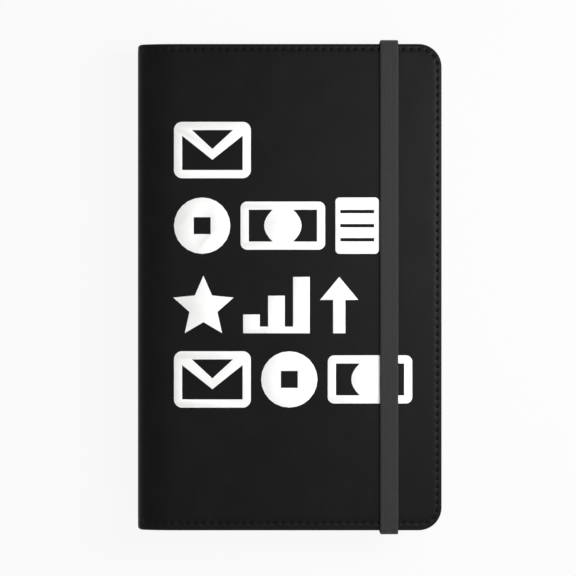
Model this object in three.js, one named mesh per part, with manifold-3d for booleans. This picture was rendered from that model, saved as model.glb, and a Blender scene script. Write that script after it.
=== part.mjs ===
// A soft black ring binder for one hundred savings envelopes, closed and lying on its back cover.
// Units are millimetres and +Z is up. X runs from the spine to the fore-edge, Y runs up the cover.
// The origin is the middle of the footprint, on the surface that the back cover lies on.

import * as THREE from 'three';
import { mergeVertices } from 'three/addons/utils/BufferGeometryUtils.js';
import Module from 'manifold-3d';

const wasm = await Module();
wasm.setup();

// Covers
const COVER_WIDTH = 119;
const COVER_HEIGHT = 190;
const COVER_THICKNESS = 2.5;
const INNER_DEPTH = 22;
const FORE_CORNER_RADIUS = 9;
const SPINE_CORNER_RADIUS = 2.5;
const EDGE_ROUND = 0.75;
const FRONT_ROLL_WIDTH = 9;
const FRONT_ROLL_DROP = 1.75;
const BACK_ROLL_WIDTH = 3;
const BACK_ROLL_RISE = 1.5;
const ROLL_FULLNESS = 0.8;
const SPINE_THICKNESS = 2;
const FOLD_GAP = 0.3;

// Inner pocket and card slots on the front cover
const POCKET_THICKNESS = 0.75;
const POCKET_WIDTH = 78;
const POCKET_HEIGHT = 174;
const POCKET_EDGE_MARGIN = 5;
const POCKET_CORNER_RADIUS = 4;
const POCKET_MOUTH_DEPTH = 7;
const CARD_SLOT_COUNT = 3;
const CARD_SLOT_THICKNESS = 0.5;
const CARD_SLOT_WIDTH = 62;
const CARD_SLOT_HEIGHT = 24;
const CARD_SLOT_PITCH = 26;
const CARD_SLOT_FIRST_Y = 20;
const CARD_SLOT_CORNER = 1;

// Elastic band
const BAND_WIDTH = 7;
const BAND_THICKNESS = 1;
const BAND_FROM_SPINE = 98.5;
const BAND_CLEARANCE = 0.5;
const BAND_TUCK = 8;
const BAND_OUTER_BEND = 1.75;
const BAND_SLOT_CLEARANCE = 0.25;

// Ring mechanism
const RAIL_FROM_SPINE = 12;
const RAIL_WIDTH = 12;
const RAIL_HEIGHT = 3.5;
const RAIL_WALL = 0.6;
const RAIL_END_INSET = 2.5;
const RING_PITCH = 19;
const RING_GROUP_GAP = 51;
const RING_WIRE = 2.2;
const RING_TOP = 19;
const RING_LEG_OUTSIDE_RAIL = 0.6;
const RING_TOP_BEND = 3;
const RING_TIP_LENGTH = 0.9;
const RING_TIP_GAP = 0.3;
const RING_CURVE_START = 8;
const BLADE_THICKNESS = 0.6;
const BLADE_LIFT = 0.6;
const BLADE_CENTRE_GAP = 0.4;
const BLADE_END_GAP = 3;
const BLADE_SIDE_GAP = 0.7;
const BLADE_EAR_LENGTH = 2.2;
const BLADE_EAR_ROOT = 1;
const PART_GAP = 0.2;
const NOTCH_LENGTH = 3.2;
const NOTCH_DEPTH = 1.4;

// Levers
const LEVER_THICKNESS = 1;
const LEVER_NECK_WIDTH = 6;
const LEVER_TAB_WIDTH = 10;
const LEVER_NECK_LENGTH = 4.8;
const LEVER_TAB_LENGTH = 6.4;
const LEVER_TAIL = 0.6;
const LEVER_SHOULDER = 2;
const LEVER_TIP_ROUND = 3;
const LEVER_TILT_DEG = 40;
const LEVER_PIVOT_LIFT = 1.25;

// Rivets
const RIVET_FROM_END = 7;
const RIVET_SHAFT_RADIUS = 1.5;
const RIVET_HOLE_CLEARANCE = 0.3;
const RIVET_HEAD_RADIUS = 3;
const RIVET_HEAD_HEIGHT = 0.8;
const RIVET_CROWN_RADIUS = 2.4;
const RIVET_CROWN_DROP = 0.24;
const RIVET_FOOT_RADIUS = 4;
const RIVET_FOOT_HEIGHT = 0.75;
const RIVET_FOOT_LIFT = 0.25;

// Block of envelopes
const LEAF_WIDTH = 98.5;
const LEAF_HEIGHT = 171;
const LEAF_HOLE_RADIUS = 2.85;
const LEAF_HOLE_MARGIN = 3.7;
const LEAF_HOLE_SLACK = 0.45;
const STACK_THICKNESS = 19.5;
const STACK_AT_RINGS = 16.75;
const STACK_RAIL_CLEARANCE = 0.5;
const STACK_RAMP_START = 7;
const STACK_RAMP_LENGTH = 9;
const STACK_RING_CLEARANCE = 1;

// Print on the front cover
const PRINT_THICKNESS = 0.25;
const PRINT_STROKE = 3.2;
const PRINT_LEFT = 14.5;
const PRINT_GAP = 4;
const MOTIF_HEIGHT = 22;
const PRINT_ROW_Y = [53.5, 24, -7, -36];
const SEALED_WIDTH = 30;
const FLAP_SIDE_CUT = 7;
const FLAP_TIP_RISE = 0.4;
const FRONT_SIDE_DROP = 5.4;
const FRONT_TIP_DROP = 3.8;
const COIN_WIDTH = 22;
const COIN_HOLE_SIDE = 6.6;
const NOTE_WIDTH = 33;
const NOTE_BULGE = 4;
const NOTE_WAIST = 6.6;
const COIN_STACK_WIDTH = 17;
const STACK_SLOT_HEIGHT = 1.3;
const STACK_SLOT_MARGIN = 1.9;
const CHART_WIDTH = 26;
const CHART_BASE = 2.6;
const CHART_GAP_SHARE = 0.5;
const STAR_WIDTH = 23;
const STAR_TIP_RADIUS = 12.4;
const STAR_WAIST_RADIUS = 5.75;
const STAR_DROP = 0.9;
const ARROW_WIDTH = 15;
const ARROW_STEM = 4.8;
const ARROW_HEAD_HEIGHT = 9;

// Modelling
const MERGE_DISTANCE = 1e-4;
const CUT_OVERRUN = 1;

// Places worked out from the sizes above
const SPINE_X = -COVER_WIDTH / 2;
const CLOSED_THICKNESS = 2 * COVER_THICKNESS + INNER_DEPTH;
const BACK_INSIDE = COVER_THICKNESS;
const FRONT_INSIDE = COVER_THICKNESS + INNER_DEPTH;
const RAIL_X = SPINE_X + RAIL_FROM_SPINE;
const WIRE_RADIUS = RING_WIRE / 2;
const LEG_OFFSET = RAIL_WIDTH / 2 + RING_LEG_OUTSIDE_RAIL;
const BLADE_TOP = BACK_INSIDE + BLADE_LIFT + BLADE_THICKNESS;
const LEG_FOOT = BLADE_TOP + PART_GAP;
const RING_TOP_Z = BACK_INSIDE + RING_TOP;
const RING_TIP_X = LEG_OFFSET - RING_TOP_BEND - RING_TIP_LENGTH;
const RAIL_TOP = BACK_INSIDE + RAIL_HEIGHT;
const RAIL_LENGTH = LEAF_HEIGHT - 2 * RAIL_END_INSET;
const RIVET_Y = RAIL_LENGTH / 2 - RIVET_FROM_END;
const RIVET_HEAD_TOP = RAIL_TOP + PART_GAP + RIVET_HEAD_HEIGHT;
const HOLE_X = RAIL_X + LEG_OFFSET - WIRE_RADIUS - LEAF_HOLE_SLACK + LEAF_HOLE_RADIUS;
const LEAF_LEFT = HOLE_X - LEAF_HOLE_RADIUS - LEAF_HOLE_MARGIN;
const BAND_X = SPINE_X + BAND_FROM_SPINE;
const RING_STEPS = [2, 1, 0].map((step) => RING_GROUP_GAP / 2 + step * RING_PITCH);
const RING_Y = [...RING_STEPS, ...RING_STEPS.map((y) => -y).reverse()];

const leather = new THREE.MeshStandardMaterial({ color: 0x202022, roughness: 0.5, metalness: 0 });
const lining = new THREE.MeshStandardMaterial({ color: 0x29292b, roughness: 0.75, metalness: 0 });
const elastic = new THREE.MeshStandardMaterial({ color: 0x3c3c3e, roughness: 0.85, metalness: 0 });
const steel = new THREE.MeshStandardMaterial({ color: 0xc9cbce, roughness: 0.25, metalness: 1 });
const paper = new THREE.MeshStandardMaterial({ color: 0xc69c6d, roughness: 0.9, metalness: 0 });
const film = new THREE.MeshStandardMaterial({ color: 0xf6f6f4, roughness: 0.55, metalness: 0 });

function toSolid(geometry) {
  const bare = geometry.clone();
  bare.deleteAttribute('normal');
  bare.deleteAttribute('uv');
  const merged = mergeVertices(bare, MERGE_DISTANCE);
  return new wasm.Manifold(new wasm.Mesh({
    numProp: 3,
    vertProperties: new Float32Array(merged.attributes.position.array),
    triVerts: new Uint32Array(merged.index.array),
  }));
}

function toGeometry(solid) {
  const mesh = solid.getMesh();
  const geometry = new THREE.BufferGeometry();
  geometry.setAttribute('position', new THREE.BufferAttribute(mesh.vertProperties, 3));
  geometry.setIndex(new THREE.BufferAttribute(mesh.triVerts, 1));
  geometry.computeVertexNormals();
  return geometry;
}

// A flat outline in X and Y, raised from one height to another.
function plate(shape, bottom, top, curveSegments = 8) {
  const depth = top - bottom;
  const geometry = new THREE.ExtrudeGeometry(shape, { depth, bevelEnabled: false, curveSegments });
  return geometry.translate(0, 0, bottom);
}

// An outline in X and Z, drawn out along Y about the middle of the book.
function alongY(shape, length, curveSegments = 8) {
  const geometry = new THREE.ExtrudeGeometry(shape, { depth: length, bevelEnabled: false, curveSegments });
  return geometry.rotateX(Math.PI / 2).translate(0, length / 2, 0);
}

// An outline in Y and Z, drawn out along X about the given place.
function alongX(shape, width, centreX, curveSegments = 6) {
  const geometry = new THREE.ExtrudeGeometry(shape, { depth: width, bevelEnabled: false, curveSegments });
  const axes = new THREE.Matrix4().makeBasis(
    new THREE.Vector3(0, 1, 0), new THREE.Vector3(0, 0, 1), new THREE.Vector3(1, 0, 0),
  );
  return geometry.applyMatrix4(axes).translate(centreX - width / 2, 0, 0);
}

function block(xLow, xHigh, yLow, yHigh, zLow, zHigh) {
  const geometry = new THREE.BoxGeometry(xHigh - xLow, yHigh - yLow, zHigh - zLow);
  return geometry.translate((xLow + xHigh) / 2, (yLow + yHigh) / 2, (zLow + zHigh) / 2);
}

function uprightCylinder(radius, x, y, zLow, zHigh, sides = 16) {
  const geometry = new THREE.CylinderGeometry(radius, radius, zHigh - zLow, sides);
  return geometry.rotateX(Math.PI / 2).translate(x, y, (zLow + zHigh) / 2);
}

function roundedRectangle(left, right, bottom, top, leftRadius, rightRadius) {
  const shape = new THREE.Shape();
  shape.moveTo(left + leftRadius, bottom);
  shape.absarc(right - rightRadius, bottom + rightRadius, rightRadius, -Math.PI / 2, 0, false);
  shape.absarc(right - rightRadius, top - rightRadius, rightRadius, 0, Math.PI / 2, false);
  shape.absarc(left + leftRadius, top - leftRadius, leftRadius, Math.PI / 2, Math.PI, false);
  shape.absarc(left + leftRadius, bottom + leftRadius, leftRadius, Math.PI, 1.5 * Math.PI, false);
  return shape;
}

function polygon(points) {
  return new THREE.Shape(points.map(([x, y]) => new THREE.Vector2(x, y)));
}

function named(name, geometry, material) {
  const mesh = new THREE.Mesh(geometry, material);
  mesh.name = name;
  return mesh;
}

// Covers and spine

// A cover's outline with its long edges softly rounded, from its low face to its high face.
function coverBlank(bottom) {
  const outline = roundedRectangle(
    SPINE_X, SPINE_X + COVER_WIDTH, -COVER_HEIGHT / 2, COVER_HEIGHT / 2,
    SPINE_CORNER_RADIUS, FORE_CORNER_RADIUS,
  );
  const geometry = new THREE.ExtrudeGeometry(outline, {
    depth: COVER_THICKNESS - 2 * EDGE_ROUND,
    bevelThickness: EDGE_ROUND,
    bevelSize: EDGE_ROUND,
    bevelOffset: -EDGE_ROUND,
    bevelSegments: 2,
    curveSegments: 8,
  });
  return toSolid(geometry.translate(0, 0, bottom + EDGE_ROUND));
}

// The front cover rolls down towards the spine, as soft leather does past the end of its board.
function frontCover() {
  const section = new THREE.Shape();
  section.moveTo(SPINE_X, FRONT_INSIDE);
  section.lineTo(SPINE_X + COVER_WIDTH, FRONT_INSIDE);
  section.lineTo(SPINE_X + COVER_WIDTH, CLOSED_THICKNESS);
  section.lineTo(SPINE_X + FRONT_ROLL_WIDTH, CLOSED_THICKNESS);
  section.quadraticCurveTo(
    SPINE_X + FRONT_ROLL_WIDTH * (1 - ROLL_FULLNESS), CLOSED_THICKNESS,
    SPINE_X, CLOSED_THICKNESS - FRONT_ROLL_DROP,
  );
  const roll = toSolid(alongY(section, COVER_HEIGHT));
  return toGeometry(coverBlank(FRONT_INSIDE).intersect(roll));
}

// The back cover is cut for the band's two ends and for the two rivets.
function backCover() {
  const section = new THREE.Shape();
  section.moveTo(SPINE_X, COVER_THICKNESS);
  section.lineTo(SPINE_X, BACK_ROLL_RISE);
  const fullness = BACK_ROLL_WIDTH * (1 - ROLL_FULLNESS);
  section.quadraticCurveTo(SPINE_X + fullness, 0, SPINE_X + BACK_ROLL_WIDTH, 0);
  section.lineTo(SPINE_X + COVER_WIDTH, 0);
  section.lineTo(SPINE_X + COVER_WIDTH, COVER_THICKNESS);
  let solid = coverBlank(0).intersect(toSolid(alongY(section, COVER_HEIGHT)));
  const slotHalf = BAND_WIDTH / 2 + BAND_SLOT_CLEARANCE;
  const slotLow = (COVER_THICKNESS - BAND_THICKNESS) / 2 - BAND_SLOT_CLEARANCE;
  const slotEnd = COVER_HEIGHT / 2 - BAND_TUCK - BAND_SLOT_CLEARANCE;
  for (const side of [1, -1]) {
    const near = side * slotEnd;
    const far = side * (COVER_HEIGHT / 2 + CUT_OVERRUN);
    solid = solid.subtract(toSolid(block(
      BAND_X - slotHalf, BAND_X + slotHalf, Math.min(near, far), Math.max(near, far),
      slotLow, COVER_THICKNESS - slotLow,
    )));
    const holeRadius = RIVET_SHAFT_RADIUS + RIVET_HOLE_CLEARANCE;
    const seatRadius = RIVET_FOOT_RADIUS + RIVET_HOLE_CLEARANCE;
    const seatTop = RIVET_FOOT_LIFT + RIVET_FOOT_HEIGHT + PART_GAP;
    solid = solid.subtract(toSolid(uprightCylinder(
      holeRadius, RAIL_X, side * RIVET_Y, -CUT_OVERRUN, COVER_THICKNESS + CUT_OVERRUN,
    )));
    solid = solid.subtract(toSolid(uprightCylinder(
      seatRadius, RAIL_X, side * RIVET_Y, -CUT_OVERRUN, seatTop,
    )));
  }
  return toGeometry(solid);
}

function spine() {
  const low = COVER_THICKNESS + FOLD_GAP;
  const high = FRONT_INSIDE - FOLD_GAP;
  return block(SPINE_X, SPINE_X + SPINE_THICKNESS, -COVER_HEIGHT / 2, COVER_HEIGHT / 2, low, high);
}

// The slip pocket is open towards the spine, where its mouth is cut back in a shallow curve.
function frontPocket() {
  const right = SPINE_X + COVER_WIDTH - POCKET_EDGE_MARGIN;
  const left = right - POCKET_WIDTH;
  const half = POCKET_HEIGHT / 2;
  const radius = POCKET_CORNER_RADIUS;
  const shape = new THREE.Shape();
  shape.moveTo(left, -half);
  shape.absarc(right - radius, -half + radius, radius, -Math.PI / 2, 0, false);
  shape.absarc(right - radius, half - radius, radius, 0, Math.PI / 2, false);
  shape.lineTo(left, half);
  shape.quadraticCurveTo(left + 2 * POCKET_MOUTH_DEPTH, 0, left, -half);
  return plate(shape, FRONT_INSIDE - POCKET_THICKNESS, FRONT_INSIDE);
}

function cardSlot(index) {
  const right = SPINE_X + COVER_WIDTH - POCKET_EDGE_MARGIN - POCKET_CORNER_RADIUS;
  const middle = CARD_SLOT_FIRST_Y - index * CARD_SLOT_PITCH;
  const top = FRONT_INSIDE - POCKET_THICKNESS;
  const shape = roundedRectangle(
    right - CARD_SLOT_WIDTH, right, middle - CARD_SLOT_HEIGHT / 2, middle + CARD_SLOT_HEIGHT / 2,
    CARD_SLOT_CORNER, CARD_SLOT_CORNER,
  );
  return plate(shape, top - CARD_SLOT_THICKNESS, top, 3);
}

// Elastic band: over the front cover, round its two ends and into the back cover's edges.

function elasticBand() {
  const inner = COVER_HEIGHT / 2 + BAND_CLEARANCE;
  const outer = inner + BAND_THICKNESS;
  const high = CLOSED_THICKNESS + BAND_CLEARANCE;
  const low = (COVER_THICKNESS - BAND_THICKNESS) / 2;
  const tuck = COVER_HEIGHT / 2 - BAND_TUCK;
  const bend = BAND_OUTER_BEND;
  const turn = bend - BAND_THICKNESS;
  const shape = new THREE.Shape();
  shape.moveTo(-tuck, low);
  shape.lineTo(-tuck, low + BAND_THICKNESS);
  shape.absarc(-inner + turn, low + bend, turn, -Math.PI / 2, -Math.PI, true);
  shape.absarc(-inner + turn, high - turn, turn, Math.PI, Math.PI / 2, true);
  shape.absarc(inner - turn, high - turn, turn, Math.PI / 2, 0, true);
  shape.absarc(inner - turn, low + bend, turn, 0, -Math.PI / 2, true);
  shape.lineTo(tuck, low + BAND_THICKNESS);
  shape.lineTo(tuck, low);
  shape.absarc(outer - bend, low + bend, bend, -Math.PI / 2, 0, false);
  shape.absarc(outer - bend, high + BAND_THICKNESS - bend, bend, 0, Math.PI / 2, false);
  shape.absarc(-outer + bend, high + BAND_THICKNESS - bend, bend, Math.PI / 2, Math.PI, false);
  shape.absarc(-outer + bend, low + bend, bend, Math.PI, 1.5 * Math.PI, false);
  return alongX(shape, BAND_WIDTH, BAND_X, 4);
}

// Ring mechanism

// The rail is an arched strip of sheet steel, notched where the rings come out.
function ringRail() {
  const half = RAIL_WIDTH / 2;
  const section = new THREE.Shape();
  section.moveTo(half, 0);
  section.absellipse(0, 0, half, RAIL_HEIGHT, 0, Math.PI, false);
  section.lineTo(-half + RAIL_WALL, 0);
  section.absellipse(0, 0, half - RAIL_WALL, RAIL_HEIGHT - RAIL_WALL, Math.PI, 0, true);
  let solid = toSolid(alongY(section, RAIL_LENGTH, 12).translate(RAIL_X, 0, BACK_INSIDE));
  for (const side of [1, -1]) {
    const holeRadius = RIVET_SHAFT_RADIUS + RIVET_HOLE_CLEARANCE;
    solid = solid.subtract(toSolid(uprightCylinder(
      holeRadius, RAIL_X, side * RIVET_Y, BACK_INSIDE + RAIL_WALL, RAIL_TOP + CUT_OVERRUN,
    )));
    for (const y of RING_Y) {
      const near = RAIL_X + side * (half - NOTCH_DEPTH);
      const far = RAIL_X + side * (half + CUT_OVERRUN);
      solid = solid.subtract(toSolid(block(
        Math.min(near, far), Math.max(near, far), y - NOTCH_LENGTH / 2, y + NOTCH_LENGTH / 2,
        BACK_INSIDE - CUT_OVERRUN, RAIL_TOP,
      )));
    }
  }
  return toGeometry(solid);
}

// One of the two strips under the rail, with an ear under the foot of each of its half rings.
function blade(side) {
  const bottom = BACK_INSIDE + BLADE_LIFT;
  const halfLength = RAIL_LENGTH / 2 - BLADE_END_GAP;
  const inner = RAIL_X + side * BLADE_CENTRE_GAP / 2;
  const outer = RAIL_X + side * (RAIL_WIDTH / 2 - RAIL_WALL - BLADE_SIDE_GAP);
  const earEnd = RAIL_X + side * (LEG_OFFSET + WIRE_RADIUS);
  const strip = block(
    Math.min(inner, outer), Math.max(inner, outer), -halfLength, halfLength, bottom, BLADE_TOP,
  );
  let solid = toSolid(strip);
  for (const y of RING_Y) {
    const near = outer - side * BLADE_EAR_ROOT;
    solid = solid.add(toSolid(block(
      Math.min(near, earEnd), Math.max(near, earEnd),
      y - BLADE_EAR_LENGTH / 2, y + BLADE_EAR_LENGTH / 2, bottom, BLADE_TOP,
    )));
  }
  for (const end of [1, -1]) {
    const clearance = RIVET_SHAFT_RADIUS + 2 * RIVET_HOLE_CLEARANCE;
    solid = solid.subtract(toSolid(uprightCylinder(
      clearance, RAIL_X, end * RIVET_Y, bottom - CUT_OVERRUN, BLADE_TOP + CUT_OVERRUN,
    )));
  }
  return toGeometry(solid);
}

function wire(path, steps) {
  const section = new THREE.Shape();
  section.absarc(0, 0, WIRE_RADIUS, 0, 2 * Math.PI, false);
  return new THREE.ExtrudeGeometry(section, {
    extrudePath: path, steps, bevelEnabled: false, curveSegments: 8,
  });
}

// A point of a ring, by its distance from the middle of the rail and its height.
function ringPoint(across, height, y) {
  return new THREE.Vector3(RAIL_X + across, y, height);
}

// The straight side of a D ring, with the short bend at its top.
function rightHalfRing(y) {
  const points = [ringPoint(LEG_OFFSET, LEG_FOOT, y)];
  const bendSteps = 6;
  const centreX = LEG_OFFSET - RING_TOP_BEND;
  const centreZ = RING_TOP_Z - RING_TOP_BEND;
  for (let i = 0; i <= bendSteps; i += 1) {
    const angle = (Math.PI / 2) * (i / bendSteps);
    const across = centreX + RING_TOP_BEND * Math.cos(angle);
    points.push(ringPoint(across, centreZ + RING_TOP_BEND * Math.sin(angle), y));
  }
  points.push(ringPoint(RING_TIP_X, RING_TOP_Z, y));
  return wire(polyline(points), points.length - 1);
}

// The curved side, from its foot at the left edge of the rail round to the tip.
function leftHalfRing(y) {
  const tip = RING_TIP_X - RING_TIP_GAP;
  const shoulder = BACK_INSIDE + RING_CURVE_START;
  const points = [ringPoint(-LEG_OFFSET, LEG_FOOT, y)];
  const curveSteps = 10;
  for (let i = 0; i <= curveSteps; i += 1) {
    const angle = (Math.PI / 2) * (i / curveSteps);
    const across = tip - (tip + LEG_OFFSET) * Math.cos(angle);
    points.push(ringPoint(across, shoulder + (RING_TOP_Z - shoulder) * Math.sin(angle), y));
  }
  return wire(polyline(points), points.length - 1);
}

// A path whose equal parameter steps fall on the given points, so that a tube along it turns only there.
function polyline(points) {
  const path = new THREE.Curve();
  const last = points.length - 1;
  path.getPoint = (t, target = new THREE.Vector3()) => {
    const place = Math.min(Math.max(t, 0), 1) * last;
    const index = Math.min(Math.floor(place), last - 1);
    return target.lerpVectors(points[index], points[index + 1], place - index);
  };
  path.getPointAt = (t, target) => path.getPoint(t, target);
  path.getTangentAt = (t, target = new THREE.Vector3()) => {
    const index = Math.round(t * last);
    const before = points[Math.max(index - 1, 0)];
    const after = points[Math.min(index + 1, last)];
    return target.subVectors(after, before).normalize();
  };
  return path;
}

// A lever is a flat tab on a narrow neck, tilted up out of the end of the rail.
function lever() {
  const neck = LEVER_NECK_WIDTH / 2;
  const tab = LEVER_TAB_WIDTH / 2;
  const end = LEVER_NECK_LENGTH + LEVER_TAB_LENGTH;
  const shape = new THREE.Shape();
  shape.moveTo(-neck, -LEVER_TAIL);
  shape.lineTo(neck, -LEVER_TAIL);
  shape.lineTo(neck, LEVER_NECK_LENGTH - LEVER_SHOULDER / 2);
  shape.lineTo(tab, LEVER_NECK_LENGTH + LEVER_SHOULDER / 2);
  shape.lineTo(tab, end - LEVER_TIP_ROUND);
  shape.quadraticCurveTo(tab, end, 0, end);
  shape.quadraticCurveTo(-tab, end, -tab, end - LEVER_TIP_ROUND);
  shape.lineTo(-tab, LEVER_NECK_LENGTH + LEVER_SHOULDER / 2);
  shape.lineTo(-neck, LEVER_NECK_LENGTH - LEVER_SHOULDER / 2);
  const geometry = plate(shape, -LEVER_THICKNESS / 2, LEVER_THICKNESS / 2, 6);
  return geometry.rotateX(THREE.MathUtils.degToRad(LEVER_TILT_DEG));
}

function rivet() {
  const foot = RIVET_FOOT_LIFT;
  const footTop = foot + RIVET_FOOT_HEIGHT;
  const headLow = RAIL_TOP + PART_GAP;
  const profile = [
    [0, foot], [RIVET_FOOT_RADIUS, foot], [RIVET_FOOT_RADIUS, footTop], [RIVET_SHAFT_RADIUS, footTop],
    [RIVET_SHAFT_RADIUS, headLow], [RIVET_HEAD_RADIUS, headLow],
    [RIVET_CROWN_RADIUS, RIVET_HEAD_TOP - RIVET_CROWN_DROP], [0, RIVET_HEAD_TOP],
  ];
  const geometry = new THREE.LatheGeometry(profile.map(([r, z]) => new THREE.Vector2(r, z)), 16);
  return geometry.rotateX(Math.PI / 2);
}

// Block of envelopes: it rides up over the rail at the rings and is fuller towards the fore-edge.
function envelopes() {
  const right = LEAF_LEFT + LEAF_WIDTH;
  const overRail = RIVET_HEAD_TOP + STACK_RAIL_CLEARANCE;
  const railRight = RAIL_X + LEG_OFFSET + WIRE_RADIUS + STACK_RING_CLEARANCE;
  const rampStart = HOLE_X + STACK_RAMP_START;
  const low = BACK_INSIDE;
  const section = polygon([
    [LEAF_LEFT, overRail], [railRight, overRail], [railRight + STACK_RAMP_START, low], [right, low],
    [right, low + STACK_THICKNESS], [rampStart + STACK_RAMP_LENGTH, low + STACK_THICKNESS],
    [rampStart, low + STACK_AT_RINGS], [LEAF_LEFT, low + STACK_AT_RINGS],
  ]);
  let solid = toSolid(alongY(section, LEAF_HEIGHT));
  for (const y of RING_Y) {
    solid = solid.subtract(toSolid(uprightCylinder(LEAF_HOLE_RADIUS, HOLE_X, y, 0, CLOSED_THICKNESS)));
  }
  return toGeometry(solid);
}

// Print: rows of plain savings motifs in white film, each centred on its own place.

function roundedBox(width, height, radius) {
  return roundedRectangle(-width / 2, width / 2, -height / 2, height / 2, radius, radius);
}

function envelopeMotif(width) {
  const half = width / 2;
  const top = MOTIF_HEIGHT / 2;
  const s = PRINT_STROKE;
  const shape = roundedBox(width, MOTIF_HEIGHT, s);
  shape.holes.push(polygon([
    [-half + FLAP_SIDE_CUT, top - s], [half - FLAP_SIDE_CUT, top - s], [0, FLAP_TIP_RISE],
  ]));
  shape.holes.push(polygon([
    [-half + s, top - FRONT_SIDE_DROP], [0, -FRONT_TIP_DROP], [half - s, top - FRONT_SIDE_DROP],
    [half - s, -top + s], [-half + s, -top + s],
  ]));
  return shape;
}

function coinMotif(width) {
  const shape = new THREE.Shape();
  shape.absarc(0, 0, width / 2, 0, 2 * Math.PI, false);
  const side = COIN_HOLE_SIDE / 2;
  shape.holes.push(polygon([[-side, -side], [side, -side], [side, side], [-side, side]]));
  return shape;
}

function noteMotif(width) {
  const half = width / 2;
  const top = MOTIF_HEIGHT / 2 - PRINT_STROKE / 2;
  const s = PRINT_STROKE;
  const shape = roundedBox(width, 2 * top, s * 0.8);
  for (const side of [1, -1]) {
    const hole = new THREE.Shape();
    hole.moveTo(side * (half - s), top - s);
    hole.lineTo(side * NOTE_BULGE, top - s);
    hole.quadraticCurveTo(side * (NOTE_WAIST + NOTE_BULGE), 0, side * NOTE_BULGE, -top + s);
    hole.lineTo(side * (half - s), -top + s);
    shape.holes.push(hole);
  }
  return shape;
}

function coinStackMotif(width) {
  const top = MOTIF_HEIGHT / 2;
  const shape = roundedBox(width, MOTIF_HEIGHT, PRINT_STROKE / 2);
  const slots = 3;
  const pitch = MOTIF_HEIGHT / (slots + 1);
  const slotHalf = STACK_SLOT_HEIGHT / 2;
  for (let i = 1; i <= slots; i += 1) {
    const y = -top + i * pitch;
    const reach = width / 2 - STACK_SLOT_MARGIN;
    shape.holes.push(polygon([
      [-reach, y - slotHalf], [reach, y - slotHalf], [reach, y + slotHalf], [-reach, y + slotHalf],
    ]));
  }
  return shape;
}

function chartMotif(width) {
  const top = MOTIF_HEIGHT / 2;
  const bars = 3;
  const barWidth = width / (bars + (bars - 1) * CHART_GAP_SHARE);
  const pitch = barWidth * (1 + CHART_GAP_SHARE);
  const base = -top + CHART_BASE;
  const points = [[-width / 2, -top], [width / 2, -top]];
  for (let i = bars - 1; i >= 0; i -= 1) {
    const right = -width / 2 + i * pitch + barWidth;
    const rise = -top + (MOTIF_HEIGHT * (i + 1)) / bars;
    points.push([right, rise], [right - barWidth, rise]);
    if (i > 0) {
      points.push([right - barWidth, base], [right - pitch, base]);
    }
  }
  return polygon(points);
}

function starMotif() {
  const points = [];
  const tips = 5;
  for (let i = 0; i < 2 * tips; i += 1) {
    const radius = i % 2 === 0 ? STAR_TIP_RADIUS : STAR_WAIST_RADIUS;
    const angle = Math.PI / 2 + (i * Math.PI) / tips;
    points.push([radius * Math.cos(angle), radius * Math.sin(angle) - STAR_DROP]);
  }
  return polygon(points);
}

function arrowMotif(width) {
  const top = MOTIF_HEIGHT / 2;
  const stem = ARROW_STEM / 2;
  const neck = top - ARROW_HEAD_HEIGHT;
  return polygon([
    [-stem, -top], [stem, -top], [stem, neck], [width / 2, neck], [0, top], [-width / 2, neck], [-stem, neck],
  ]);
}

const PRINT_ROWS = [
  [['print_envelope_1', envelopeMotif, SEALED_WIDTH]],
  [
    ['print_coin_1', coinMotif, COIN_WIDTH],
    ['print_note_1', noteMotif, NOTE_WIDTH],
    ['print_coin_stack', coinStackMotif, COIN_STACK_WIDTH],
  ],
  [
    ['print_star', starMotif, STAR_WIDTH],
    ['print_chart', chartMotif, CHART_WIDTH],
    ['print_arrow', arrowMotif, ARROW_WIDTH],
  ],
  [
    ['print_envelope_2', envelopeMotif, SEALED_WIDTH],
    ['print_coin_2', coinMotif, COIN_WIDTH],
    ['print_note_2', noteMotif, NOTE_WIDTH],
  ],
];

// A motif's outline raised to the film's thickness, with its openings cut out.
function filmPiece(motif) {
  const outline = new THREE.Shape(motif.getPoints(12));
  let solid = toSolid(plate(outline, 0, PRINT_THICKNESS));
  for (const hole of motif.holes) {
    const opening = new THREE.Shape(hole.getPoints(8));
    solid = solid.subtract(toSolid(plate(opening, -CUT_OVERRUN, PRINT_THICKNESS + CUT_OVERRUN)));
  }
  return toGeometry(solid);
}

function coverPrint() {
  const group = new THREE.Group();
  PRINT_ROWS.forEach((row, index) => {
    let left = SPINE_X + PRINT_LEFT;
    for (const [name, motif, width] of row) {
      const geometry = filmPiece(motif(width));
      geometry.translate(left + width / 2, PRINT_ROW_Y[index], CLOSED_THICKNESS);
      group.add(named(name, geometry, film));
      left += width + PRINT_GAP;
    }
  });
  return group;
}

// The finished binder

const binder = new THREE.Group();
binder.add(named('front_cover', frontCover(), leather));
binder.add(named('spine', spine(), leather));
binder.add(named('back_cover', backCover(), leather));
binder.add(named('front_pocket', frontPocket(), lining));
for (let i = 0; i < CARD_SLOT_COUNT; i += 1) {
  binder.add(named(`card_slot_${i + 1}`, cardSlot(i), lining));
}
binder.add(named('elastic_band', elasticBand(), elastic));
binder.add(named('ring_rail', ringRail(), steel));
binder.add(named('blade_left', blade(-1), steel));
binder.add(named('blade_right', blade(1), steel));
RING_Y.forEach((y, i) => {
  binder.add(named(`ring_left_${i + 1}`, leftHalfRing(y), steel));
  binder.add(named(`ring_right_${i + 1}`, rightHalfRing(y), steel));
});
for (const [name, turn] of [['top', 0], ['bottom', Math.PI]]) {
  const side = turn === 0 ? 1 : -1;
  const tab = named(`lever_${name}`, lever(), steel);
  tab.position.set(RAIL_X, side * RAIL_LENGTH / 2, BACK_INSIDE + LEVER_PIVOT_LIFT);
  tab.rotation.z = turn;
  binder.add(tab);
  const pin = named(`rivet_${name}`, rivet(), steel);
  pin.position.set(RAIL_X, side * RIVET_Y, 0);
  binder.add(pin);
}
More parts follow.
